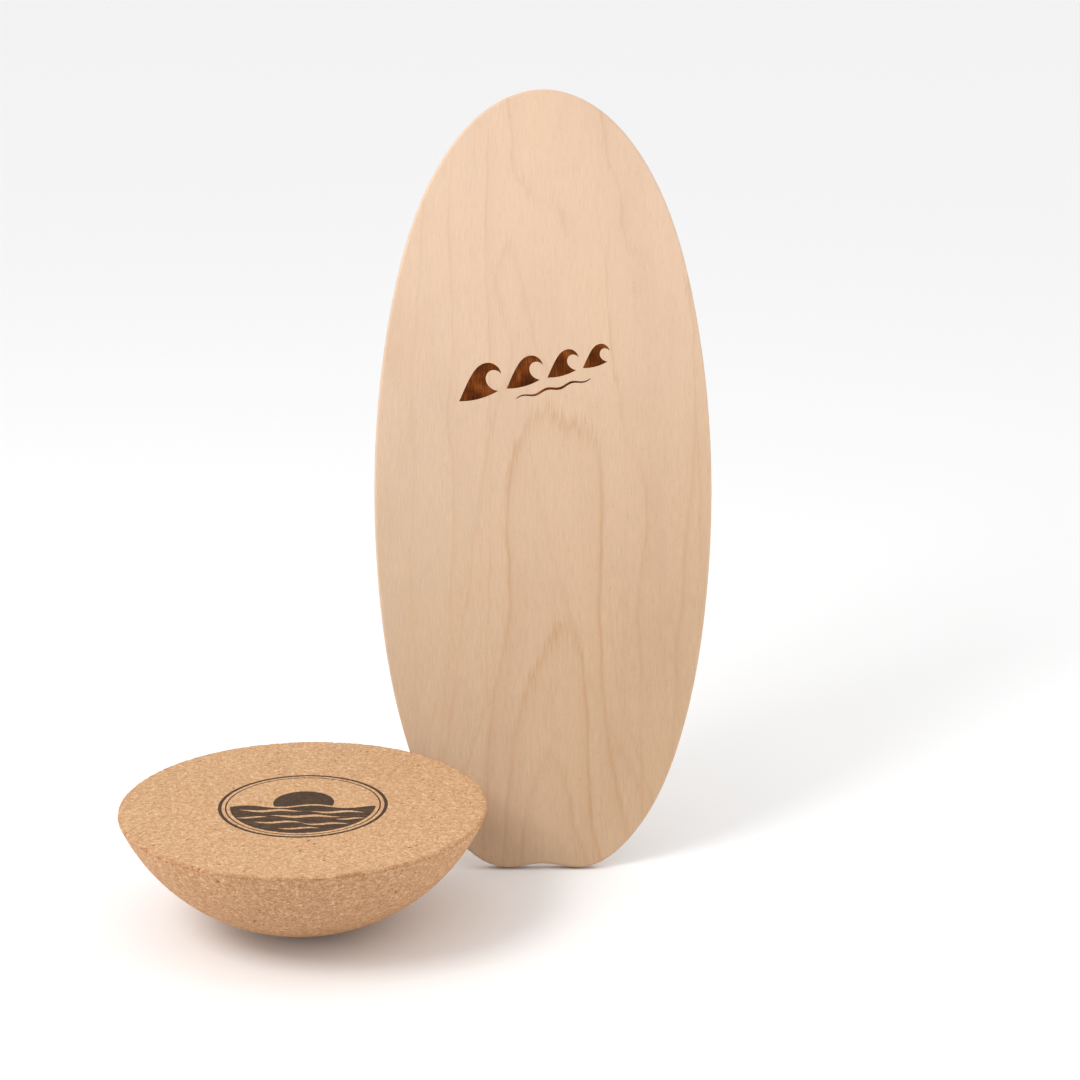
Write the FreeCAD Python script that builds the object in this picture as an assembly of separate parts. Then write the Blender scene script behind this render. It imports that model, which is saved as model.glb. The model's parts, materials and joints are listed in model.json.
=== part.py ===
import FreeCAD, Part

import math
import os

# Balance board: a plywood deck shaped like a small surfboard, and a separate
# cork half ball that it rocks on.
#
# Millimetres: +Z up, +X right, +Y away from a viewer facing the deck's front.
# The origin is where the half ball's dome touches the floor.  The half ball
# sits dome down, and the deck stands on its tail behind it and to its right,
# leaning back.

Vector = FreeCAD.Vector

# Cork half ball
ball_radius = 175.0        # largest radius, at the rim
ball_height = 118.0        # floor to flat top, less than a full hemisphere
rim_round = 2.0            # rounding between the flat top and the dome

# Veneers, from the engraved face to the back.  The grain of the odd ones runs
# along the deck and that of the even ones across it.
ply_names = [
    "face_veneer",
    "ply_2_cross_grain",
    "ply_3_long_grain",
    "ply_4_cross_grain",
    "ply_5_core_long_grain",
    "ply_6_cross_grain",
    "ply_7_long_grain",
    "ply_8_cross_grain",
    "back_veneer",
]
ply_thickness = 1.4

# Plywood deck
deck_length = 780.0        # nose to tail tips
deck_half_width = 169.0    # at the widest station
deck_thickness = len(ply_names) * ply_thickness
edge_round = 2.5           # on both faces, all the way around
slab_margin = 20.0         # by which the slabs that part the plies overhang the deck

# Where the deck stands
lean_deg = 16.8            # back from upright
deck_x = 228.3             # deck's centreline, right of the half ball's axis
deck_y = 122.0             # where the plane of the deck's front face meets the floor

# Right-hand half of the deck's outline, nose to notch: (distance from the
# centreline, distance from the nose).  The shape is stretched to
# deck_half_width and deck_length.  Widest just below the middle; the tail
# ends in two blunt tips with a shallow notch between them.
outline_stations = [
    (0.00, 0.00), (9.75, 0.62), (23.85, 3.60), (40.28, 10.10), (58.80, 21.69),
    (79.51, 41.04), (99.30, 67.46), (118.14, 102.22), (134.28, 144.36),
    (148.10, 197.50), (159.35, 261.67), (166.56, 331.10), (168.97, 401.33),
    (166.80, 471.11), (160.82, 535.99), (151.26, 595.25), (139.44, 643.62),
    (126.72, 681.56), (112.99, 711.60), (98.79, 734.54), (84.40, 752.21),
    (71.19, 764.65), (61.25, 771.53), (53.31, 775.40), (46.66, 777.51),
    (40.70, 778.55), (34.66, 778.83), (27.70, 778.44), (19.86, 777.38),
    (10.66, 775.93), (0.00, 775.06),
]

# Engraved wave motif, on the face veneer
engraving_depth = 0.3
cutter_height = 2.0        # deep enough to stand clear of the face
motif_across = -6.0        # motif's origin, right of the deck's centreline
motif_along = 112.5        # and from mid-length towards the nose
motif_tilt_deg = 15.0      # it rises to the right
motif_scale = 1.1          # enlarges all the motif's sizes below

# Four curling waves in a row, each smaller than the one to its left.  The
# outline of the largest is three curves of (x, y) points from its left foot.
wave_scales = (1.0, 0.86, 0.74, 0.635)
wave_gap = 1.2
waves_left = -77.0
waves_base_y = -13.0
wave_foot = (0.0, 0.0)
wave_tip = (43.5, 14.0)
wave_toe = (37.0, 0.0)
wave_back = [wave_foot, (8.5, 10.5), (17.0, 20.0), (27.0, 26.8), (36.5, 26.5),
             (42.5, 20.5), wave_tip]
wave_hollow = [wave_tip, (40.5, 18.2), (35.2, 19.6), (30.2, 16.6), (28.6, 10.4),
               (31.2, 4.2), wave_toe]
wave_base = [wave_toe, (18.0, -2.6), wave_foot]

# Fine ripple line under the waves, thickest in the middle
ripple_left = -26.0
ripple_right = 44.0
ripple_y = -24.0
ripple_cycles = 3.0
ripple_amplitude = 1.3
ripple_end_half_thickness = 0.35
ripple_swell = 0.85        # added to the half thickness at the middle
ripple_swell_power = 0.8   # below 1 keeps it thick for more of its length
ripple_steps = 30


# ---------------------------------------------------------------------------
# Deck, in its own axes: x across, y along with the nose at +y, and z the
# normal of the front face, which lies in z = 0.
# ---------------------------------------------------------------------------
def deck_outline_points():
    widest = max(width for width, distance in outline_stations)
    longest = max(distance for width, distance in outline_stations)
    right = [(width / widest * deck_half_width,
              deck_length / 2.0 - distance / longest * deck_length)
             for width, distance in outline_stations]
    # the nose and the notch lie on the centreline and aren't mirrored
    left = [(-x, y) for x, y in right[-2:0:-1]]
    return [Vector(x, y, 0) for x, y in right + left]


def is_level(edge):
    """True for the rims of the faces, false for the seam between them."""
    start = edge.valueAt(edge.FirstParameter)
    end = edge.valueAt(edge.LastParameter)
    return abs(start.z - end.z) < 1e-6


def deck_solid():
    curve = Part.BSplineCurve()
    curve.interpolate(Points=deck_outline_points(), PeriodicFlag=True)
    face = Part.Face(Part.Wire([curve.toShape()]))
    solid = face.extrude(Vector(0, 0, -deck_thickness))
    return solid.makeFillet(edge_round, [edge for edge in solid.Edges if is_level(edge)])


# ---------------------------------------------------------------------------
# Engraved motif
# ---------------------------------------------------------------------------
def motif_vector(point):
    x, y = point
    return Vector(motif_scale * x, motif_scale * y, 0)


def spline_edge(points):
    curve = Part.BSplineCurve()
    curve.interpolate(Points=[motif_vector(point) for point in points])
    return curve.toShape()


def line_edge(start, end):
    return Part.LineSegment(motif_vector(start), motif_vector(end)).toShape()


def wave_face(left, scale):
    edges = [spline_edge([(left + scale * x, waves_base_y + scale * y) for x, y in points])
             for points in (wave_back, wave_hollow, wave_base)]
    return Part.Face(Part.Wire(edges))


def ripple_face():
    upper, lower = [], []
    for i in range(ripple_steps + 1):
        along = i / ripple_steps
        x = ripple_left + (ripple_right - ripple_left) * along
        y = ripple_y + ripple_amplitude * math.sin(2.0 * math.pi * ripple_cycles * along)
        swell = ripple_swell * math.sin(math.pi * along) ** ripple_swell_power
        half_thickness = ripple_end_half_thickness + swell
        upper.append((x, y + half_thickness))
        lower.append((x, y - half_thickness))
    return Part.Face(Part.Wire([
        spline_edge(upper),
        line_edge(upper[-1], lower[-1]),
        spline_edge(lower[::-1]),
        line_edge(lower[0], upper[0]),
    ]))


def motif_cutters():
    faces = []
    left = waves_left
    for scale in wave_scales:
        faces.append(wave_face(left, scale))
        left += scale * wave_tip[0] + wave_gap
    faces.append(ripple_face())

    cutters = []
    for face in faces:
        cutter = face.extrude(Vector(0, 0, cutter_height))
        cutter.translate(Vector(0, 0, -engraving_depth))
        cutter.rotate(Vector(0, 0, 0), Vector(0, 0, 1), motif_tilt_deg)
        cutter.translate(Vector(motif_across, motif_along, 0))
        cutters.append(cutter)
    return cutters


# ---------------------------------------------------------------------------
# Plies, cut from the rounded deck and stood in place
# ---------------------------------------------------------------------------
def deck_placement():
    lean = math.radians(lean_deg)
    # the deck rests on the rounded back edge of its tail tips
    centre_z = ((deck_length / 2.0 - edge_round) * math.cos(lean)
                + (deck_thickness - edge_round) * math.sin(lean) + edge_round)
    centre_y = deck_y + centre_z * math.tan(lean)
    turn = FreeCAD.Rotation(Vector(1, 0, 0), 90.0 - lean_deg)
    return FreeCAD.Placement(Vector(deck_x, centre_y, centre_z), turn)


def deck_plies():
    deck = deck_solid()
    box = deck.BoundBox
    placement = deck_placement()
    plies = {}
    for i, name in enumerate(ply_names):
        corner = Vector(box.XMin - slab_margin, box.YMin - slab_margin,
                        -(i + 1) * ply_thickness)
        slab = Part.makeBox(box.XLength + 2 * slab_margin, box.YLength + 2 * slab_margin,
                            ply_thickness, corner)
        ply = deck.common(slab)
        if name == "face_veneer":
            ply = ply.cut(motif_cutters())
        ply = ply.Solids[0]
        ply.Placement = placement.multiply(ply.Placement)
        plies[name] = ply
    return plies


# ---------------------------------------------------------------------------
# Half ball: a turned cap of a sphere, dome down, with a rounded rim
# ---------------------------------------------------------------------------
def profile_point(centre_x, centre_z, radius, angle):
    """Point on a circle in the XZ plane, its angle taken from +X towards +Z."""
    return Vector(centre_x + radius * math.cos(angle), 0, centre_z + radius * math.sin(angle))


def half_ball():
    # the sphere touches the floor and runs smoothly into the rim's rounding
    sphere_radius = ((ball_radius - rim_round) ** 2 / (ball_height - 2.0 * rim_round)
                     + ball_height) / 2.0
    round_x = ball_radius - rim_round
    round_z = ball_height - rim_round
    join_angle = math.atan2(round_z - sphere_radius, round_x)

    bottom = Vector(0, 0, 0)
    dome_middle = profile_point(0, sphere_radius, sphere_radius,
                                (join_angle - math.pi / 2.0) / 2.0)
    join = profile_point(0, sphere_radius, sphere_radius, join_angle)
    rim_middle = profile_point(round_x, round_z, rim_round,
                               (join_angle + math.pi / 2.0) / 2.0)
    top_edge = Vector(round_x, 0, ball_height)
    top_centre = Vector(0, 0, ball_height)
    edges = [
        Part.Arc(bottom, dome_middle, join).toShape(),
        Part.Arc(join, rim_middle, top_edge).toShape(),
        Part.LineSegment(top_edge, top_centre).toShape(),
        Part.LineSegment(top_centre, bottom).toShape(),
    ]
    profile = Part.Face(Part.Wire(edges))
    return profile.revolve(Vector(0, 0, 0), Vector(0, 0, 1), 360).Solids[0]


def main():
    os.makedirs("parts", exist_ok=True)
    pieces = {"cork_half_ball": half_ball()}
    pieces.update(deck_plies())
    for name, solid in pieces.items():
        # a revolved face can come out inside out, with a negative volume
        if solid.Volume < 0:
            solid.reverse()
        solid.exportStep(os.path.join("parts", name + ".step"))


main()
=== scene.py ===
import json
import math

import bpy
import numpy as np
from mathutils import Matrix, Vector, noise as mnoise


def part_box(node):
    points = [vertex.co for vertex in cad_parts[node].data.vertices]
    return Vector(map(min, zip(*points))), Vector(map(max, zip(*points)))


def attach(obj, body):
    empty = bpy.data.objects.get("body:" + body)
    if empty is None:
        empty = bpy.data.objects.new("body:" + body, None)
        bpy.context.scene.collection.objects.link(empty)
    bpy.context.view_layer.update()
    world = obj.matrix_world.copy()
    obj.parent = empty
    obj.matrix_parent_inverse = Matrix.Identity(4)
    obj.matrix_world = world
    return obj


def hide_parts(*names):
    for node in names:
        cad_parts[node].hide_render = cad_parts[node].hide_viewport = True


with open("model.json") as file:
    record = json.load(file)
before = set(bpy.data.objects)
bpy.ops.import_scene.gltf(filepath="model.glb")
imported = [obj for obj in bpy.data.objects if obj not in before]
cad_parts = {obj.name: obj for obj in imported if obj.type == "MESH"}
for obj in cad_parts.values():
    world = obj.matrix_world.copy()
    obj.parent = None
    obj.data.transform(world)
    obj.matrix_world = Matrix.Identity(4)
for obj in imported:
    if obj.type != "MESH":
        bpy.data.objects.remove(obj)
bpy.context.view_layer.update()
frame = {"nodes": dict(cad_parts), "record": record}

# ---------------------------------------------------------------------------
# Places and sizes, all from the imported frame
# ---------------------------------------------------------------------------
MM = 0.001
RECORD = frame["record"]
MOUNTS = {m["name"]: m for m in RECORD["mounts"]}
BALL_LO, BALL_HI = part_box("cork_half_ball")
BALL_R = (BALL_HI.x - BALL_LO.x) / 2
BALL_H = BALL_HI.z - BALL_LO.z
RIM_ROUND = 2.0 * MM
DECK_C = Vector(MOUNTS["deck_face"]["pos_m"])
DECK_N = Vector(MOUNTS["deck_face"]["axis"]).normalized()
DECK_TILT = math.atan2(-DECK_N.y, DECK_N.z)      # turn about +X from lying face up
DECK_T = (Vector(MOUNTS["deck_back"]["pos_m"]) - DECK_C).length
PLIES = ["face_veneer", "ply_2_cross_grain", "ply_3_long_grain", "ply_4_cross_grain", "ply_5_core_long_grain",
         "ply_6_cross_grain", "ply_7_long_grain", "ply_8_cross_grain", "back_veneer"]
PLY_T = DECK_T / len(PLIES)


def lin(r, g, b):
    """sRGB 0-255 to a linear colour."""
    out = []
    for c in (r, g, b):
        c /= 255.0
        out.append(c / 12.92 if c <= 0.04045 else ((c + 0.055) / 1.055) ** 2.4)
    return (*out, 1.0)


# ---------------------------------------------------------------------------
# A small layer over shader nodes, so that a material reads as a formula
# ---------------------------------------------------------------------------
class S:
    """A value or vector socket that arithmetic works on."""

    def __init__(self, g, sock):
        self.g, self.sock = g, sock

    def __add__(self, o): return self.g.math("ADD", self, o)
    def __radd__(self, o): return self.g.math("ADD", o, self)
    def __sub__(self, o): return self.g.math("SUBTRACT", self, o)
    def __rsub__(self, o): return self.g.math("SUBTRACT", o, self)
    def __mul__(self, o): return self.g.math("MULTIPLY", self, o)
    def __rmul__(self, o): return self.g.math("MULTIPLY", o, self)
    def __truediv__(self, o): return self.g.math("DIVIDE", self, o)
    def __rtruediv__(self, o): return self.g.math("DIVIDE", o, self)
    def __neg__(self): return self.g.math("MULTIPLY", self, -1.0)


class Graph:
    def __init__(self, name):
        self.mat = bpy.data.materials.new(name)
        self.mat.use_nodes = True
        self.t = self.mat.node_tree
        self.t.nodes.clear()
        self.out = self.t.nodes.new("ShaderNodeOutputMaterial")
        self.bsdf = self.t.nodes.new("ShaderNodeBsdfPrincipled")
        self.t.links.new(self.bsdf.outputs[0], self.out.inputs[0])
        self.coord = self.t.nodes.new("ShaderNodeTexCoord")

    def put(self, sock, v):
        if isinstance(v, S):
            self.t.links.new(v.sock, sock)
        elif v is not None:
            sock.default_value = v

    def math(self, op, a, b=None, c=None, clamp=False):
        n = self.t.nodes.new("ShaderNodeMath")
        n.operation = op
        n.use_clamp = clamp
        self.put(n.inputs[0], a)
        if b is not None:
            self.put(n.inputs[1], b)
        if c is not None:
            self.put(n.inputs[2], c)
        return S(self, n.outputs[0])

    def abs(self, a): return self.math("ABSOLUTE", a)
    def sqrt(self, a): return self.math("SQRT", a)
    def max(self, a, b): return self.math("MAXIMUM", a, b)
    def min(self, a, b): return self.math("MINIMUM", a, b)
    def sin(self, a): return self.math("SINE", a)
    def pow(self, a, b): return self.math("POWER", a, b)

    def step(self, a, b, x):
        """0 below a and 1 above b, smooth between; a may be above b."""
        n = self.t.nodes.new("ShaderNodeMapRange")
        n.interpolation_type = "SMOOTHSTEP"
        self.put(n.inputs["Value"], x)
        if a <= b:
            n.inputs["From Min"].default_value, n.inputs["From Max"].default_value = a, b
            n.inputs["To Min"].default_value, n.inputs["To Max"].default_value = 0.0, 1.0
        else:
            n.inputs["From Min"].default_value, n.inputs["From Max"].default_value = b, a
            n.inputs["To Min"].default_value, n.inputs["To Max"].default_value = 1.0, 0.0
        return S(self, n.outputs["Result"])

    def bell(self, x, width):
        """exp(-(x/width)^2)"""
        q = x * (1.0 / width)
        return self.math("EXPONENT", -(q * q))

    def vec(self, x, y, z):
        n = self.t.nodes.new("ShaderNodeCombineXYZ")
        for i, v in enumerate((x, y, z)):
            self.put(n.inputs[i], v)
        return S(self, n.outputs[0])

    def split(self, v):
        n = self.t.nodes.new("ShaderNodeSeparateXYZ")
        self.put(n.inputs[0], v)
        return [S(self, n.outputs[i]) for i in range(3)]

    def vmath(self, op, a, b=None, value=False, scale=None):
        n = self.t.nodes.new("ShaderNodeVectorMath")
        n.operation = op
        self.put(n.inputs[0], a)
        if b is not None:
            self.put(n.inputs[1], b)
        if scale is not None:
            self.put(n.inputs["Scale"], scale)
        return S(self, n.outputs["Value"] if value else n.outputs["Vector"])

    def noise(self, v, scale=1.0, detail=2.0, rough=0.5, distortion=0.0, colour=False):
        n = self.t.nodes.new("ShaderNodeTexNoise")
        self.put(n.inputs["Vector"], v)
        n.inputs["Scale"].default_value = scale
        n.inputs["Detail"].default_value = detail
        n.inputs["Roughness"].default_value = rough
        n.inputs["Distortion"].default_value = distortion
        return S(self, n.outputs["Color" if colour else "Fac"])

    def cells(self, v, scale=1.0, feature="F1", random=1.0):
        n = self.t.nodes.new("ShaderNodeTexVoronoi")
        n.feature = feature
        self.put(n.inputs["Vector"], v)
        n.inputs["Scale"].default_value = scale
        n.inputs["Randomness"].default_value = random
        if feature == "DISTANCE_TO_EDGE":
            return S(self, n.outputs["Distance"])
        r, g, b = self.rgb(S(self, n.outputs["Color"]))
        return S(self, n.outputs["Distance"]), r, g, b

    def rgb(self, c):
        n = self.t.nodes.new("ShaderNodeSeparateColor")
        self.put(n.inputs[0], c)
        return [S(self, n.outputs[i]) for i in range(3)]

    def mix(self, fac, a, b, kind="MIX"):
        n = self.t.nodes.new("ShaderNodeMix")
        n.data_type = "RGBA"
        n.blend_type = kind
        n.clamp_factor = True
        self.put(n.inputs[0], fac)
        self.put(n.inputs[6], a)
        self.put(n.inputs[7], b)
        return S(self, n.outputs[2])

    def scale_colour(self, c, f):
        """Colour c times the grey f."""
        return self.vmath("SCALE", c, scale=f)

    def ramp(self, fac, stops):
        n = self.t.nodes.new("ShaderNodeValToRGB")
        self.put(n.inputs[0], fac)
        r = n.color_ramp
        while len(r.elements) < len(stops):
            r.elements.new(0.5)
        for e, (p, c) in zip(r.elements, stops):
            e.position, e.color = p, c
        return S(self, n.outputs[0])

    def curve(self, x, points, lo, hi, vlo, vhi):
        """A smooth function of x through points, on lo..hi with values in vlo..vhi."""
        n = self.t.nodes.new("ShaderNodeFloatCurve")
        m = n.mapping
        c = m.curves[0]
        pts = [((px - lo) / (hi - lo), (py - vlo) / (vhi - vlo)) for px, py in sorted(points)]
        while len(c.points) < len(pts):
            c.points.new(0.5, 0.5)
        for p, (px, py) in zip(c.points, pts):
            p.location = (px, py)
        m.update()
        self.put(n.inputs["Value"], self.math("MULTIPLY_ADD", x, 1.0 / (hi - lo), -lo / (hi - lo), clamp=True))
        return self.math("MULTIPLY_ADD", S(self, n.outputs[0]), vhi - vlo, vlo)

    def bump(self, height, strength, distance, normal=None):
        n = self.t.nodes.new("ShaderNodeBump")
        n.inputs["Strength"].default_value = strength
        n.inputs["Distance"].default_value = distance
        self.put(n.inputs["Height"], height)
        if normal is not None:
            self.put(n.inputs["Normal"], normal)
        return S(self, n.outputs[0])

    def set(self, name, v):
        self.put(self.bsdf.inputs[name], v)


def deck_coords(g):
    """The deck's own u, v, w in millimetres: across, towards the nose, out of the face (0 at the face)."""
    m = g.t.nodes.new("ShaderNodeMapping")
    m.vector_type = "TEXTURE"
    m.inputs["Location"].default_value = DECK_C
    m.inputs["Rotation"].default_value = (DECK_TILT, 0.0, 0.0)
    g.t.links.new(g.coord.outputs["Object"], m.inputs["Vector"])
    return g.split(g.vmath("SCALE", S(g, m.outputs[0]), scale=1000.0))


# ---------------------------------------------------------------------------
# Beech face veneer: fine grain, ray flecks, and a few growth lines that run
# along the deck and close into arches
# ---------------------------------------------------------------------------
# Growth lines as (u, v) points in the deck's plane, millimetres from its middle, v towards the nose.
# An arch has a crest and two legs; a line runs the length of the deck.
FACE_ARCHES = [
    # strength, soft inside, crest (u, v), left leg (v, u), right leg (v, u)
    (0.85, 0.55,
     [(-35.5, 9.7), (-30.4, 22.8), (-22.3, 43.8), (-13.1, 61.0), (-5.1, 60.8), (2.9, 66.5), (9.9, 58.8), (23.9, 51.8),
      (46.9, 42.8), (55.8, 27.8), (59.6, 4.7)],
     [(42.8, -22.3), (20.8, -30.4), (-19.3, -35.2), (-50.4, -36.9), (-82.4, -35.6), (-113.5, -32.7), (-160.6, -37.6),
      (-201.7, -45.9), (-241.8, -52.2), (-316.9, -57.6), (-381.0, -61.1)],
     [(42.8, 46.9), (27.8, 55.8), (-4.3, 58.6), (-66.4, 59.2), (-129.5, 57.4), (-191.7, 59.4), (-238.8, 63.1),
      (-301.9, 72.7), (-348.0, 84.4), (-381.0, 95.2)]),
    (1.0, 0.5,
     [(-21.0, -229.7), (-14.9, -207.7), (-1.7, -182.6), (10.5, -157.6), (19.6, -148.6), (26.6, -143.6), (30.6, -152.6),
      (35.5, -169.6), (41.9, -198.2)],
     [(-157.6, 10.5), (-182.6, -1.7), (-207.7, -14.9), (-229.7, -21.0), (-263.8, -29.3), (-300.9, -33.9),
      (-348.0, -37.3), (-386.0, -41.1)],
     [(-169.6, 35.5), (-198.2, 41.9), (-254.8, 45.0), (-301.9, 45.7), (-348.0, 50.4), (-386.0, 57.1)]),
    (0.8, 0.5,
     [(-15.6, -329.9), (-8.9, -307.9), (-2.4, -288.9), (6.7, -274.8), (16.3, -288.9), (23.6, -307.9), (28.4, -329.9)],
     [(-288.9, -2.4), (-307.9, -8.9), (-329.9, -15.6), (-358.0, -19.8), (-386.0, -23.0)],
     [(-288.9, 16.3), (-307.9, 23.6), (-329.9, 28.4), (-364.0, 37.7), (-386.0, 43.1)]),
    (0.55, 0.3,
     [(-46.3, 204.1), (-40.5, 222.2), (-34.5, 233.2), (-28.1, 226.2), (-23.2, 204.1)],
     [(222.2, -40.5), (204.1, -46.3), (180.1, -44.4), (159.0, -39.6), (130.0, -31.7), (60.0, -50.0), (0.0, -60.0)],
     [(226.2, -28.1), (204.1, -23.2), (180.1, -18.4), (159.0, -11.5), (130.0, -5.7), (90.0, 20.0), (70.0, 60.0)]),
]
FACE_LINES = [
    # strength, width, fades out beyond these v, points (v, u)
    (0.72, 1.7, (-500.0, 500.0),
     [(389.5, -35.1), (357.4, -33.7), (339.4, -30.9), (313.3, -31.1), (295.3, -19.6), (282.3, -14.7), (273.3, 9.3),
      (260.2, 18.7), (242.2, 24.1), (236.2, 39.1), (228.2, 60.1), (210.1, 63.0), (180.1, 64.8), (151.0, 67.6),
      (112.9, 69.4), (80.9, 75.2), (48.8, 81.0), (20.8, 93.4), (-13.3, 102.6), (-47.4, 103.9), (-85.4, 100.2),
      (-113.5, 96.0), (-147.6, 95.7), (-191.7, 98.5), (-238.8, 98.2), (-301.9, 98.8), (-381.0, 101.3)]),
    (0.62, 1.6, (-60.0, 500.0),
     [(389.5, 56.1), (360.4, 57.9), (334.4, 63.8), (307.3, 66.6), (284.3, 77.5), (251.2, 80.3), (228.2, 89.1),
      (217.2, 96.1), (214.1, 123.1), (205.1, 141.1), (170.1, 148.9), (89.9, 152.4), (9.7, 155.9), (-50.4, 157.5)]),
    (0.42, 1.7, (-500.0, 260.0),
     [(389.5, -93.2), (210.1, -93.3), (130.0, -89.8), (58.8, -95.8), (11.7, -89.6), (-41.4, -88.9), (-113.5, -93.4),
      (-176.6, -92.8), (-216.7, -99.1), (-290.9, -104.6), (-381.0, -109.2)]),
    (0.40, 1.5, (-500.0, 330.0),
     [(389.5, -54.1), (260.2, -56.9), (130.0, -53.8), (27.8, -53.4), (-66.4, -53.0), (-129.5, -54.4), (-191.7, -56.8),
      (-238.8, -55.1), (-310.9, -60.6), (-381.0, -65.1)]),
    (0.60, 2.6, (-500.0, 40.0),
     [(389.5, 160.3), (109.9, 157.5), (9.7, 149.9), (-66.4, 143.0), (-129.5, 139.4), (-176.6, 132.6), (-207.7, 134.4),
      (-254.8, 129.1), (-320.9, 123.7), (-381.0, 115.3)]),
    (0.28, 2.2, (-500.0, 500.0),
     [(389.5, -120.2), (210.1, -123.4), (89.9, -132.2), (-10.3, -128.8), (-90.5, -133.3), (-190.7, -128.0),
      (-381.0, -133.2)]),
]
BACK_ARCHES = [
    (0.9, 0.5,
     [(-92.0, 120.0), (-80.0, 190.0), (-58.0, 236.0), (-36.0, 262.0), (-20.0, 268.0), (2.0, 258.0), (26.0, 222.0),
      (40.0, 176.0), (50.0, 110.0)],
     [(236.0, -58.0), (190.0, -80.0), (120.0, -92.0), (0.0, -100.0), (-140.0, -98.0), (-260.0, -104.0), (-390.0, -106.0)],
     [(222.0, 26.0), (176.0, 40.0), (110.0, 50.0), (0.0, 62.0), (-140.0, 72.0), (-260.0, 74.0), (-390.0, 82.0)]),
    (1.0, 0.5,
     [(-66.0, -20.0), (-58.0, 34.0), (-46.0, 72.0), (-30.0, 96.0), (-16.0, 92.0), (2.0, 62.0), (14.0, 20.0), (22.0, -40.0)],
     [(72.0, -46.0), (34.0, -58.0), (-20.0, -66.0), (-120.0, -70.0), (-240.0, -76.0), (-390.0, -74.0)],
     [(62.0, 2.0), (20.0, 14.0), (-40.0, 22.0), (-140.0, 34.0), (-260.0, 38.0), (-390.0, 52.0)]),
    (0.9, 0.5,
     [(-44.0, -160.0), (-34.0, -118.0), (-22.0, -90.0), (-10.0, -100.0), (0.0, -132.0), (8.0, -180.0)],
     [(-118.0, -34.0), (-160.0, -44.0), (-240.0, -48.0), (-390.0, -50.0)],
     [(-100.0, -10.0), (-132.0, 0.0), (-180.0, 8.0), (-280.0, 14.0), (-390.0, 22.0)]),
    (0.8, 0.4,
     [(-30.0, -300.0), (-22.0, -262.0), (-14.0, -244.0), (-6.0, -262.0), (0.0, -300.0)],
     [(-262.0, -22.0), (-300.0, -30.0), (-390.0, -34.0)],
     [(-262.0, -6.0), (-300.0, 0.0), (-390.0, 6.0)]),
]
BACK_LINES = [
    (0.55, 1.7, (-500.0, 500.0), [(390.0, -106.0), (240.0, -118.0), (110.0, -124.0), (0.0, -132.0), (-120.0, -130.0),
                                  (-240.0, -134.0), (-390.0, -128.0)]),
    (0.50, 1.7, (-500.0, 500.0), [(390.0, 52.0), (250.0, 84.0), (120.0, 92.0), (0.0, 104.0), (-140.0, 108.0),
                                  (-280.0, 106.0), (-390.0, 112.0)]),
    (0.38, 2.2, (-500.0, 500.0), [(390.0, 104.0), (240.0, 126.0), (90.0, 132.0), (-60.0, 140.0), (-220.0, 136.0),
                                  (-390.0, 132.0)]),
]


def growth_lines(g, u, v, arches, lines, seed):
    """0..1: how far a point lies in the darker late wood of a growth line."""
    # the lines wander, and where they cross the grain each fibre carries them a little further or less far
    slow = g.noise(g.vec(u * 0.03 + seed, v * 0.022, seed), detail=2.0, rough=0.6) - 0.5
    fibre = g.noise(g.vec(u * 0.55, v * 0.008, seed + 4.0), detail=3.0, rough=0.7) - 0.5
    fine = g.noise(g.vec(u * 1.6, v * 0.05, seed + 6.0), detail=1.0) - 0.5
    uu = u + slow * 7.0 + fine * 1.2
    vv = v + slow * 8.0 + fibre * 82.0 + fine * 20.0
    total = None
    for strength, soft, crest, left, right in arches:
        um = sum(p[0] for p in crest) / len(crest)
        vm = max(p[1] for p in crest)
        vtop = g.curve(uu, [(-180.0, -460.0), (crest[0][0] - 14.0, min(crest[0][1], crest[-1][1]) - 200.0)] + crest
                       + [(crest[-1][0] + 14.0, min(crest[0][1], crest[-1][1]) - 200.0), (180.0, -460.0)],
                       -180.0, 180.0, -460.0, 400.0)
        ul = g.curve(vv, left + [(vm, um), (vm + 40.0, um + 90.0), (400.0, 178.0)], -400.0, 400.0, -180.0, 180.0)
        ur = g.curve(vv, right + [(vm, um), (vm + 40.0, um - 90.0), (400.0, -178.0)], -400.0, 400.0, -180.0, 180.0)
        dh = g.max(ul - uu, uu - ur)
        dv = vv - vtop
        out = g.max(dh, 0.0)
        # at a crest the cut meets the rings at a shallow angle, so the band is broader there than along the legs
        dc = dv * 0.42
        dist = g.abs(dh * dc) / g.sqrt(dh * dh + dc * dc + 0.01)
        inside = g.step(0.6, -0.6, dh)
        line = g.bell(dist, 2.0) * 0.76 + g.math("EXPONENT", dist * -0.12) * inside * soft * 0.95
        line = line * strength
        total = line if total is None else g.max(total, line)
    for strength, width, (lo, hi), points in lines:
        d = uu - g.curve(vv, points, -400.0, 400.0, -180.0, 180.0)
        left = g.bell(g.min(d, 0.0), width * 0.8)
        right = g.bell(g.max(d, 0.0), width * 0.8) * 0.6 + g.math("EXPONENT", g.max(d, 0.0) * -0.16) * 0.4
        line = left * right * strength
        if lo > -400.0:
            line = line * g.step(lo - 60.0, lo + 20.0, v)
        if hi < 400.0:
            line = line * g.step(hi + 60.0, hi - 20.0, v)
        total = g.max(total, line)
    # stronger in some stretches than in others
    vary = g.noise(g.vec(u * 0.012 + 3.0, v * 0.008, seed + 9.0), detail=2.0)
    return total * (0.35 + 0.65 * g.step(0.25, 0.66, vary))


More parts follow.
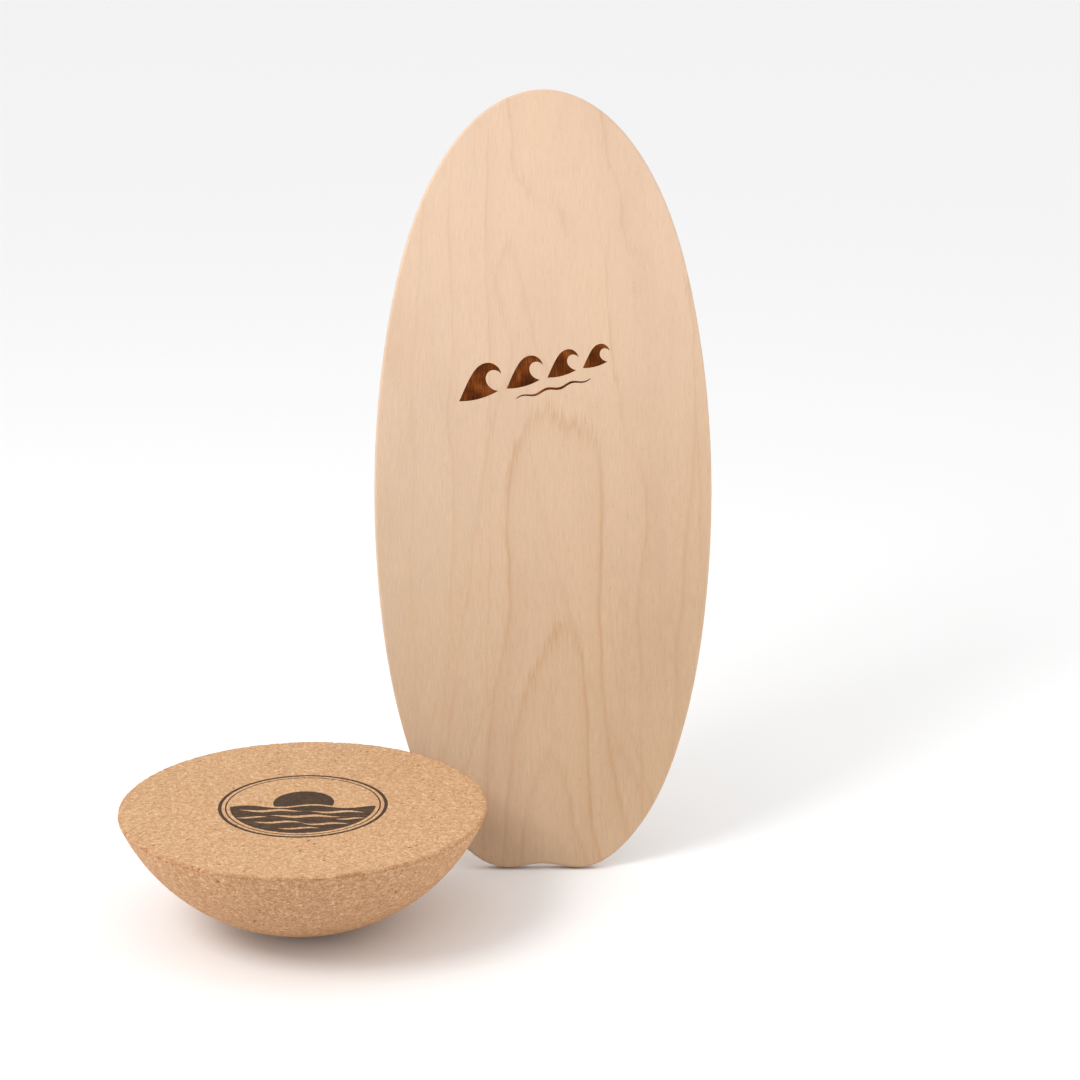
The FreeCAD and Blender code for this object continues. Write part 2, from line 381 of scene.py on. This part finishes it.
WOOD_A = lin(208, 176, 149)
WOOD_B = lin(212, 181, 154)
WOOD_C = lin(214, 182, 153)
# painted light at the nose and painted shade at the tail, multiplied into the wood's colour
NOSE_PAINTED_LIGHT = (1.022, 1.030, 1.047, 1.0)
TAIL_PAINTED_SHADE = (0.822, 0.793, 0.725, 1.0)
WOOD_LEFT = (0.985, 1.02, 1.06, 1.0)
WOOD_RIGHT = (0.945, 0.93, 0.905, 1.0)
PORE_TINT = (0.80, 0.70, 0.58, 1.0)


def beech_face(name, arches, lines, seed, engraved):
    g = Graph(name)
    u, v, w = deck_coords(g)
    late = growth_lines(g, u, v, arches, lines, seed)

    # broad tone: pinkish and yellowish areas, a few centimetres wide and very long
    tone = g.noise(g.vec(u * 0.016, v * 0.0045, seed + 1.0), detail=3.0, rough=0.55)
    base = g.ramp(tone, [(0.30, WOOD_A), (0.50, WOOD_B), (0.70, WOOD_C)])
    # painted light and shade along the deck: the nose a little brighter and pinker, the face darker and yellower
    # towards the tail, standing in for light that falls off from nose to tail
    along = g.step(330.0, -300.0, v)
    base = g.vmath("MULTIPLY", base, g.mix(along, NOSE_PAINTED_LIGHT, TAIL_PAINTED_SHADE))
    # paler on one side and yellower on the other, more so towards the tail
    drift = (g.noise(g.vec(u * 0.012, v * 0.006, seed + 8.0), detail=1.0) - 0.5) * 90.0
    lower = g.step(230.0, -160.0, v)
    base = g.vmath("MULTIPLY", base, g.mix(g.step(10.0, -140.0, u + drift) * (0.25 + lower * 0.75), (1.0, 1.0, 1.0, 1.0), WOOD_LEFT))
    base = g.vmath("MULTIPLY", base, g.mix(g.step(-10.0, 150.0, u + drift) * lower, (1.0, 1.0, 1.0, 1.0), WOOD_RIGHT))

    # streaks along the grain, at three widths
    wander = (g.noise(g.vec(u * 0.02, v * 0.01, seed + 2.0), detail=1.0) - 0.5) * 3.0
    us = u + wander
    broad = g.noise(g.vec(us * 0.16, v * 0.0022, seed + 3.0), detail=2.0, rough=0.6) - 0.5
    medium = g.noise(g.vec(us * 0.42, v * 0.020, seed + 5.0), detail=2.0, rough=0.6) - 0.5
    thin = g.noise(g.vec(us * 0.95, v * 0.060, seed + 7.0), detail=3.0, rough=0.7) - 0.5
    coarse = 0.88 + along * 0.42
    shade = (broad * 0.045 + medium * 0.10 + thin * 0.30) * coarse

    # ray flecks: short dark dashes along the grain, close together
    d1, r1, g1, b1 = g.cells(g.vec(us * 0.80, v * 0.24, seed), random=1.0)
    d2, r2, g2, b2 = g.cells(g.vec(us * 0.47 + 7.3, v * 0.115, seed + 2.0), random=1.0)
    fleck = g.step(0.30, 0.10, d1) * g.step(0.45, 0.75, r1)
    fleck_b = g.step(0.22, 0.07, d2) * g.step(0.62, 0.85, r2)
    flecks = (fleck * 0.08 + fleck_b * 0.11) * coarse

    level = 1.0 + shade - flecks * 0.4
    col = g.scale_colour(base, level)
    # pores and flecks are warm, not grey
    col = g.mix(flecks * 3.4, col, g.mix(1.0, col, PORE_TINT, kind="MULTIPLY"))
    # late wood: warmer and darker, broken up by the same streaks
    brk = g.math("ADD", late * (0.80 + thin * 1.8 + medium * 0.9), 0.0, clamp=True)
    col = g.mix(brk * 0.66, col, g.scale_colour(lin_vec(g, 178, 134, 94), level))

    height = shade * 0.4 - flecks * 0.9 - late * 0.12
    rough = 0.50 + (medium * 0.25 + flecks * 0.7)
    shine = 0.42

    if engraved:
        # the engraved floor lies 0.3 mm below the face: burnt dark, streaked by the grain,
        # with scorching that fades a fraction of a millimetre into the walls
        near = g.step(106.0, 100.0, g.abs(u + 6.0)) * g.step(68.0, 62.0, g.abs(v - 112.0))
        deep = g.step(-0.03, -0.12, w) * near
        lines_n = g.noise(g.vec(u * 0.9, v * 0.045, 2.0), detail=3.0, rough=0.6)
        blotch = g.noise(g.vec(u * 0.05, v * 0.05, 5.0), detail=2.0)
        # the laser's passes run across the deck, a fraction of a millimetre apart
        passes = g.math("PINGPONG", v * 1.0, 0.42) * 0.12
        heat = lines_n * 0.55 + blotch * 0.55 + passes - flecks * 1.2
        burnt = g.ramp(heat, [(0.26, lin(34, 14, 4)), (0.44, lin(59, 26, 7)), (0.60, lin(97, 47, 14)), (0.78, lin(142, 79, 33))])
        col = g.mix(deep, col, burnt)
        rough = rough + deep * 0.35
        shine = (1.0 - deep) * 0.36 + 0.06
        height = height * (1.0 - deep) + deep * (lines_n * 0.35 + passes)

    g.set("Base Color", col)
    g.set("Roughness", rough)
    g.set("IOR", 1.45)
    g.set("Specular IOR Level", shine)
    g.set("Normal", g.bump(height, 0.35, 0.0004))
    return g.mat


def lin_vec(g, r, gg, b):
    n = g.t.nodes.new("ShaderNodeRGB")
    n.outputs[0].default_value = lin(r, gg, b)
    return S(g, n.outputs[0])


def beech_ply(name, along, seed):
    """A core veneer, seen only at the deck's edge: long grain or end grain by which way the edge faces."""
    g = Graph(name)
    u, v, w = deck_coords(g)
    nrm = S(g, g.coord.outputs["Normal"])
    grain = (0.0, -math.cos(DECK_TILT) * -1.0, math.sin(DECK_TILT)) if along else (1.0, 0.0, 0.0)
    end = g.abs(g.vmath("DOT_PRODUCT", nrm, tuple(grain), value=True))
    end = end * end
    # long grain shows fine lines along the edge, end grain shows pores
    lay = g.noise(g.vec(u * 0.05, v * 0.05, w * 3.2 + seed), detail=3.0, rough=0.6)
    pore_d, pr, pg, pb = g.cells(g.vec(u * 3.0, v * 3.0, w * 3.4 + seed), random=1.0)
    pores = g.step(0.34, 0.16, pore_d) * g.step(0.35, 0.6, pr)
    speck = g.noise(g.vec(u * 0.9, v * 0.9, w * 2.0 + seed), detail=3.0, rough=0.6)
    long_col = g.ramp(lay, [(0.30, lin(208, 168, 128)), (0.52, lin(224, 187, 149)), (0.74, lin(233, 200, 165))])
    end_col = g.ramp(speck, [(0.30, lin(158, 116, 80)), (0.55, lin(183, 140, 100)), (0.78, lin(201, 160, 120))])
    end_col = g.scale_colour(end_col, 1.0 - pores * 0.22)
    col = g.mix(end * 0.85, long_col, end_col)
    # patches along the edge differ a little, as each sheet does
    patch = g.noise(g.vec(u * 0.012, v * 0.012, seed), detail=2.0)
    col = g.scale_colour(col, 0.94 + patch * 0.12)
    # glue line: dark and thin where two veneers meet
    layer = w * (-1.0 / (PLY_T * 1000.0))
    glue = g.math("PINGPONG", layer, 0.5)            # 0 at the joints, 0.5 mid veneer
    ragged = g.noise(g.vec(u * 0.6, v * 0.6, seed + 3.0), detail=2.0)
    line = g.step(0.085, 0.03, glue + (ragged - 0.5) * 0.05)
    col = g.mix(line * 0.62, col, lin(120, 78, 46))
    g.set("Base Color", col)
    g.set("Roughness", 0.58 + end * 0.14 + line * 0.05)
    g.set("IOR", 1.45)
    g.set("Specular IOR Level", 0.38)
    g.set("Normal", g.bump(lay * 0.35 - pores * 0.5 * end - line * 0.9, 0.5, 0.0003))
    return g.mat


# ---------------------------------------------------------------------------
# Agglomerated cork
# ---------------------------------------------------------------------------
DOME_TINT = (0.955, 0.905, 0.89, 1.0)


def cork_material():
    g = Graph("cork")
    p = g.vmath("SCALE", S(g, g.coord.outputs["Object"]), scale=1000.0)     # millimetres
    x, y, z = g.split(p)
    # granule outlines are irregular: bend the cells with two noises
    bend = g.noise(p, scale=0.45, detail=2.0, colour=True)
    bend = g.vmath("SCALE", g.vmath("SUBTRACT", bend, (0.5, 0.5, 0.5)), scale=2.6)
    q = g.vmath("ADD", p, bend)
    # pressed in the mould along its height, so the granules are a little flattened
    q = g.vmath("MULTIPLY", q, (1.0, 1.0, 1.25))

    da, ra, ga, ba = g.cells(q, scale=0.42)                  # granules, about 2.4 mm
    db, rb, gb, bb = g.cells(q, scale=0.95)                  # small granules, about 1 mm
    dc, rc, gc, bc = g.cells(q, scale=0.17)                  # where the bark crumbs lie
    edge_a = g.cells(q, scale=0.42, feature="DISTANCE_TO_EDGE")
    edge_b = g.cells(q, scale=0.95, feature="DISTANCE_TO_EDGE")
    grain = g.noise(q, scale=2.1, detail=3.0, rough=0.7)      # cork's own cells and lenticels
    fibre = g.noise(g.vmath("MULTIPLY", q, (0.5, 0.5, 2.2)), scale=0.9, detail=2.0)

    small = g.step(0.42, 0.50, ga)                          # where a granule is broken into small ones
    tone = ra * (1.0 - small) + rb * small
    # the turned dome shows more contrast than the sanded top
    turned = g.step(BALL_H * 1000 - 0.8, BALL_H * 1000 - 3.0, z)
    tone = tone * 0.52 + grain * 0.52 + fibre * 0.16 - 0.09
    tone = (tone - 0.5) * (1.0 + turned * 0.22) + 0.5
    col = g.ramp(tone, [(0.10, lin(172, 123, 84)), (0.30, lin(192, 147, 106)), (0.50, lin(206, 164, 123)),
                        (0.72, lin(218, 180, 140)), (0.95, lin(233, 203, 165))])
    # binder and shadow between granules
    gap_a = g.step(0.10, 0.015, edge_a)
    gap_b = g.step(0.12, 0.02, edge_b) * small
    gap = g.max(gap_a, gap_b * 0.7) * g.step(0.30, 0.62, g.noise(q, scale=0.25, detail=1.0))
    col = g.mix(gap * 0.42, col, lin(158, 108, 68))
    # bark: sparse dark brown granules and crumbs
    ragged = g.noise(p, scale=0.55, detail=3.0, rough=0.65) - 0.5
    bark = g.step(0.92, 0.94, rc) * g.step(0.32, 0.22, dc + ragged * 0.6) * (0.45 + bc * 0.5)
    crumb = g.step(0.962, 0.975, gb) * g.step(0.55, 0.35, db)
    reddish = g.step(0.86, 0.95, ba) * g.step(0.62, 0.4, da)
    col = g.mix(reddish * 0.34, col, lin(186, 122, 76))
    dark = g.ramp(grain, [(0.30, lin(86, 54, 32)), (0.55, lin(118, 76, 46)), (0.75, lin(150, 104, 68))])
    col = g.mix(g.max(bark * 0.85, crumb * 0.85), col, dark)
    # broad, weak cloudiness
    cloud = g.noise(p, scale=0.018, detail=2.0)
    col = g.scale_colour(col, 0.93 + cloud * 0.09)
    col = g.mix(turned, col, g.mix(1.0, col, DOME_TINT, kind="MULTIPLY"))

    # the rim is handled most: a narrow, broken line of darker, redder crumbs
    rr = g.sqrt(x * x + y * y)
    dr, dz = rr - (BALL_R * 1000 - 1.0), z - (BALL_H * 1000 - 1.6)
    rim_d = g.sqrt(dr * dr + dz * dz) + (g.noise(p, scale=0.22, detail=3.0) - 0.5) * 5.0
    patchy = g.step(0.42, 0.60, g.noise(p, scale=0.045, detail=3.0, rough=0.6))
    worn = g.step(3.2, 0.4, rim_d) * (0.45 + 0.55 * g.step(0.35, 0.6, g.noise(p, scale=0.33, detail=2.0)))
    worn = worn * (0.30 + 0.70 * patchy)
    col = g.mix(worn * 0.62, col, g.mix(1.0, col, lin(202, 154, 124), kind="MULTIPLY"))
    chips = g.step(3.4, 1.6, rim_d) * g.step(0.56, 0.66, g.noise(p, scale=0.6, detail=3.0, rough=0.7))
    col = g.mix(chips * (0.42 + 0.26 * patchy), col, lin(122, 76, 46))

    # printed emblem on the flat top: a sun over dark water inside a double ring
    on_top = g.step(BALL_H * 1000 - 1.2, BALL_H * 1000 - 0.7, z)
    soft = (g.noise(p, scale=0.9, detail=2.0) - 0.5) * 0.5
    er = rr + soft
    ring = g.step(77.0, 77.4, er) * g.step(80.8, 80.4, er)
    ring2 = g.step(72.4, 72.7, er) * g.step(74.2, 73.9, er)
    disc = g.step(69.4, 69.0, er)
    ys = y + soft
    # the sun stands on the water
    sun_r = g.sqrt(x * x + (y - 8.0) * (y - 8.0)) + soft
    sun = g.step(29.2, 28.8, sun_r)
    # the sea's edge: a rolling line
    edge = g.sin(x * 0.1 + 0.6) * 3.2 - 3.0
    sea = g.step(0.2, -0.2, ys - edge)
    sun = sun * g.step(3.0, 3.4, ys - edge)
    # lighter crests where the bare cork shows, each a lens that thins out towards its ends
    crests = None
    for y0, x0, half, amp in ((-13.0, -30.0, 30.0, 2.6), (-16.0, 34.0, 26.0, 2.4), (-27.0, 4.0, 34.0, 2.8),
                              (-30.0, -46.0, 15.0, 1.8), (-33.0, 47.0, 14.0, 1.8), (-42.0, -20.0, 24.0, 2.2),
                              (-46.0, 24.0, 22.0, 2.2), (-57.0, 0.0, 20.0, 1.9)):
        xx = (x - x0) * (1.0 / half)
        body = g.max(1.0 - xx * xx, 0.0)
        wave = ys - y0 - g.sin((x - x0) * 0.16) * 1.6
        c = g.step(0.25, -0.25, g.abs(wave) - body * amp)
        crests = c if crests is None else g.max(crests, c)
    ink = g.max(g.max(ring, ring2), g.max(sun, sea * (1.0 - crests)) * disc) * on_top
    worn_ink = g.step(0.16, 0.40, grain * 0.6 + g.noise(p, scale=0.5, detail=3.0) * 0.4)
    ink_col = g.ramp(grain * 0.6 + ra * 0.4, [(0.2, lin(49, 35, 26)), (0.6, lin(68, 51, 38)), (0.9, lin(95, 71, 51))])
    col = g.mix(ink * (0.84 + worn_ink * 0.13), col, ink_col)

    g.set("Base Color", col)
    g.set("Roughness", 0.80 + grain * 0.12 - ink * 0.06)
    g.set("IOR", 1.4)
    g.set("Specular IOR Level", 0.30)
    height = (ra * 0.35 + rb * small * 0.3) * (1.0 - gap) - gap * 0.5 + grain * 0.35 - crumb * 0.6 - bark * 0.4 - ink * 0.25
    g.set("Normal", g.bump(height, 0.55, 0.0007))
    return g.mat


# ---------------------------------------------------------------------------
# Half ball mesh: rings on the exact turned profile, close enough together to
# carry the relief of the granules, then pressed in and out along the normal
# ---------------------------------------------------------------------------
def ball_profile(step):
    """(radius, height, normal r, normal z) from the middle of the top, over the rim, to the dome's foot."""
    R, H, r = BALL_R, BALL_H, RIM_ROUND
    sr = ((R - r) ** 2 / (H - 2 * r) + H) / 2
    cx, cz = R - r, H - r
    end = math.atan2(cz - sr, cx)                 # where the rounding meets the dome
    pts = []
    n_top = int(round(cx / step))
    for i in range(n_top + 1):
        pts.append((cx * i / n_top, H, 0.0, 1.0))
    arc = math.pi / 2 - end
    n_arc = max(8, int(round(r * arc / (step * 0.55))))
    for i in range(1, n_arc + 1):
        a = math.pi / 2 - arc * i / n_arc
        pts.append((cx + r * math.cos(a), cz + r * math.sin(a), math.cos(a), math.sin(a)))
    sweep = math.pi / 2 + end
    n_dome = int(round(sr * sweep / step))
    for i in range(1, n_dome + 1):
        a = end - sweep * i / n_dome
        pts.append((sr * math.cos(a), sr + sr * math.sin(a), math.cos(a), math.sin(a)))
    pts[-1] = (0.0, 0.0, 0.0, -1.0)
    return pts


def ring_mesh(profile, step):
    """Triangles between rings whose point counts follow their radius."""
    verts, normals, rings = [], [], []
    rng = np.random.default_rng(11)
    for pr, pz, nr, nz in profile:
        n = max(1, int(round(2 * math.pi * pr / step)))
        if pr < step * 0.4:
            n = 1
        off = rng.random() * 2 * math.pi
        first = len(verts)
        for k in range(n):
            a = off + 2 * math.pi * k / n
            ca, sa = math.cos(a), math.sin(a)
            verts.append((pr * ca, pr * sa, pz))
            normals.append((nr * ca, nr * sa, nz))
        rings.append((first, n, off))
    faces = []
    for (fa, na, oa), (fb, nb, ob) in zip(rings, rings[1:]):
        if na == 1 and nb == 1:
            continue
        if na == 1:
            faces += [(fa, fb + k, fb + (k + 1) % nb) for k in range(nb)]
            continue
        if nb == 1:
            faces += [(fa + k, fb, fa + (k + 1) % na) for k in range(na)]
            continue
        # walk around both rings by angle
        da, db = 2 * math.pi / na, 2 * math.pi / nb
        shift = int(math.floor((oa - ob) / db + 0.5))
        i = j = 0
        while i < na or j < nb:
            next_a = oa + (i + 1) * da
            next_b = ob + (shift + j + 1) * db
            a0, b0 = fa + i % na, fb + (shift + j) % nb
            if j >= nb or (i < na and next_a <= next_b):
                faces.append((a0, b0, fa + (i + 1) % na))
                i += 1
            else:
                faces.append((a0, b0, fb + (shift + j + 1) % nb))
                j += 1
    return np.array(verts), np.array(normals), faces


def cork_relief(v):
    """Height in metres at each vertex: granules slightly proud or sunk, and a few pits where one has come out."""
    out = np.zeros(len(v))
    for i, (x, y, z) in enumerate(v):
        q = Vector((x * 330.0, y * 330.0, z * 400.0))           # cells about 3 mm
        q += mnoise.noise_vector(q * 1.3) * 0.35
        dist, near = mnoise.voronoi(q, distance_metric="DISTANCE", exponent=2.5)
        c = near[0]
        rnd = mnoise.cell(Vector((c.x * 7.31 + 3.1, c.y * 5.17 + 1.7, c.z * 9.73 + 0.9)))
        edge = dist[1] - dist[0]
        h = 0.00009 * (min(edge, 0.35) / 0.35 - 0.6) + 0.00006 * rnd
        if rnd > 0.93:                                          # a crumb is missing
            h -= 0.00055 * max(0.0, 1.0 - dist[0] / 0.62)
        h += 0.00005 * mnoise.noise(q * 2.3)
        out[i] = h
    return out


def build_cork():
    step = 1.55 * MM
    verts, normals, faces = ring_mesh(ball_profile(step), step)
    relief = cork_relief(verts)
    # the rim crumbles a little more than the faces
    rad = np.hypot(verts[:, 0], verts[:, 1])
    rim = np.exp(-(((rad - (BALL_R - 1.0 * MM)) / (2.4 * MM)) ** 2 + ((verts[:, 2] - (BALL_H - 1.5 * MM)) / (2.6 * MM)) ** 2))
    rough = np.array([mnoise.fractal(Vector(p) * 140.0, 0.8, 2.1, 4) for p in verts])
    relief = relief * (1.0 + 1.2 * rim) - rim * np.clip(rough, 0.0, 1.0) * 0.0009
    # the top stays flat enough for the deck to lie on, and the dome's foot stays on the floor
    top = (verts[:, 2] > BALL_H - 0.3 * MM)
    relief[top] = np.minimum(relief[top], 0.00004)
    foot = np.exp(-(rad / 0.012) ** 2) * (verts[:, 2] < 0.02)
    relief = relief * (1.0 - foot)
    verts = verts + normals * relief[:, None]
    me = bpy.data.meshes.new("half_ball_cork")
    me.from_pydata([tuple(p) for p in verts], [], faces)
    me.validate()
    me.update()
    ob = bpy.data.objects.new("half_ball_cork", me)
    bpy.context.scene.collection.objects.link(ob)
    # outward faces
    co = verts[np.array(faces)]
    if np.einsum("ij,ij->i", co[:, 0], np.cross(co[:, 1], co[:, 2])).sum() < 0:
        me.flip_normals()
    me.polygons.foreach_set("use_smooth", np.ones(len(me.polygons), bool))
    me.materials.append(cork_material())
    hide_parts("cork_half_ball")
    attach(ob, "half_ball")
    return ob


build_cork()

# ---------------------------------------------------------------------------
# Deck materials
# ---------------------------------------------------------------------------
face_mat = beech_face("beech_face", FACE_ARCHES, FACE_LINES, 2.0, True)
back_mat = beech_face("beech_back", BACK_ARCHES, BACK_LINES, 31.0, False)
for i, name in enumerate(PLIES):
    ob = frame["nodes"][name]
    if name == "face_veneer":
        mat = face_mat
    elif name == "back_veneer":
        mat = back_mat
    else:
        mat = beech_ply("beech_" + name, "long" in name, 11.0 + 5.0 * i)
    ob.data.materials.clear()
    ob.data.materials.append(mat)
    for poly in ob.data.polygons:
        poly.material_index = 0

# ---------------------------------------------------------------------------
# Floor, light and camera
# ---------------------------------------------------------------------------
SKY_LOW, SKY_HIGH, SKY_LEFT, SKY_RIGHT = 0.14, 0.945, 0.97, 0.62
KEY = 26.2
STRIP_LEFT, STRIP_RIGHT = 4.2, 4.4


def plain(name, rgb, rough):
    g = Graph(name)
    g.set("Base Color", rgb)
    g.set("Roughness", rough)
    g.set("Specular IOR Level", 0.2)
    return g.mat


bpy.ops.mesh.primitive_plane_add(size=40.0, location=(0.2, 0.0, 0.0))
floor = bpy.context.active_object
floor.name = "floor"
floor.data.materials.append(plain("floor_white", (0.87, 0.87, 0.87, 1.0), 0.9))

world = bpy.data.worlds.new("studio")
bpy.context.scene.world = world
world.use_nodes = True
wt = world.node_tree
bg = wt.nodes["Background"]
bg.inputs["Strength"].default_value = 1.0
wc = wt.nodes.new("ShaderNodeTexCoord")
ws = wt.nodes.new("ShaderNodeSeparateXYZ")
wr = wt.nodes.new("ShaderNodeMapRange")
wr.interpolation_type = "SMOOTHSTEP"
wt.links.new(wc.outputs["Generated"], ws.inputs[0])
wt.links.new(ws.outputs["Z"], wr.inputs["Value"])
wr.inputs["From Min"].default_value, wr.inputs["From Max"].default_value = 0.0, 0.85
wr.inputs["To Min"].default_value, wr.inputs["To Max"].default_value = SKY_LOW, SKY_HIGH
# white walls to the left and right, the left one brighter, open towards the camera
wx = wt.nodes.new("ShaderNodeMapRange")
wx.interpolation_type = "SMOOTHSTEP"
wt.links.new(ws.outputs["X"], wx.inputs["Value"])
wx.inputs["From Min"].default_value, wx.inputs["From Max"].default_value = -0.15, -1.0
wx.inputs["To Min"].default_value, wx.inputs["To Max"].default_value = 0.0, SKY_LEFT
wy = wt.nodes.new("ShaderNodeMapRange")
wy.interpolation_type = "SMOOTHSTEP"
wt.links.new(ws.outputs["X"], wy.inputs["Value"])
wy.inputs["From Min"].default_value, wy.inputs["From Max"].default_value = 0.15, 1.0
wy.inputs["To Min"].default_value, wy.inputs["To Max"].default_value = 0.0, SKY_RIGHT
wa = wt.nodes.new("ShaderNodeMath")
wa.operation = "ADD"
wt.links.new(wx.outputs["Result"], wa.inputs[0])
wt.links.new(wy.outputs["Result"], wa.inputs[1])
wm = wt.nodes.new("ShaderNodeMath")
wm.operation = "ADD"
wt.links.new(wa.outputs[0], wm.inputs[0])
wt.links.new(wr.outputs["Result"], wm.inputs[1])
# seen directly, the studio is one pale backdrop
wp = wt.nodes.new("ShaderNodeLightPath")
wb = wt.nodes.new("ShaderNodeMix")
wb.data_type = "FLOAT"
wt.links.new(wp.outputs["Is Camera Ray"], wb.inputs[0])
wt.links.new(wm.outputs[0], wb.inputs[2])
wb.inputs[3].default_value = 0.88
wt.links.new(wb.outputs[0], bg.inputs["Color"])


def area(name, loc, target, size, energy, size_y=None, colour=(1.0, 1.0, 1.0)):
    d = bpy.data.lights.new(name, "AREA")
    d.energy = energy
    d.color = colour
    d.size = size
    if size_y:
        d.shape = "RECTANGLE"
        d.size_y = size_y
    o = bpy.data.objects.new(name, d)
    bpy.context.scene.collection.objects.link(o)
    o.location = loc
    o.rotation_mode = "QUATERNION"
    o.rotation_quaternion = (Vector(target) - Vector(loc)).to_track_quat("-Z", "Y")
    o.visible_camera = False
    return o


area("key", (-1.15, -1.1, 1.95), (0.2, 0.25, 0.55), 0.9, KEY, 0.9)
# two low strips that lift the half ball's flanks and the deck's rounded edges
area("left_strip", (-1.5, 0.20, 0.20), (-0.1, 0.0, 0.06), 1.0, STRIP_LEFT, 0.34)
area("right_strip", (1.45, -0.06, 0.20), (0.1, 0.0, 0.06), 1.0, STRIP_RIGHT, 0.34)

cam_data = bpy.data.cameras.new("camera")
cam = bpy.data.objects.new("camera", cam_data)
bpy.context.scene.collection.objects.link(cam)
cam_data.sensor_width = 36.0
cam_data.lens = 100.0
cam_data.clip_end = 60.0
cam.location = (0.22532, -2.66374, 1.17154)
cam.rotation_euler = (math.radians(90.0 - 16.5212), 0.0, 0.0)
bpy.context.scene.camera = cam

bpy.context.scene.view_settings.view_transform = "Standard"
bpy.context.scene.view_settings.look = "None"
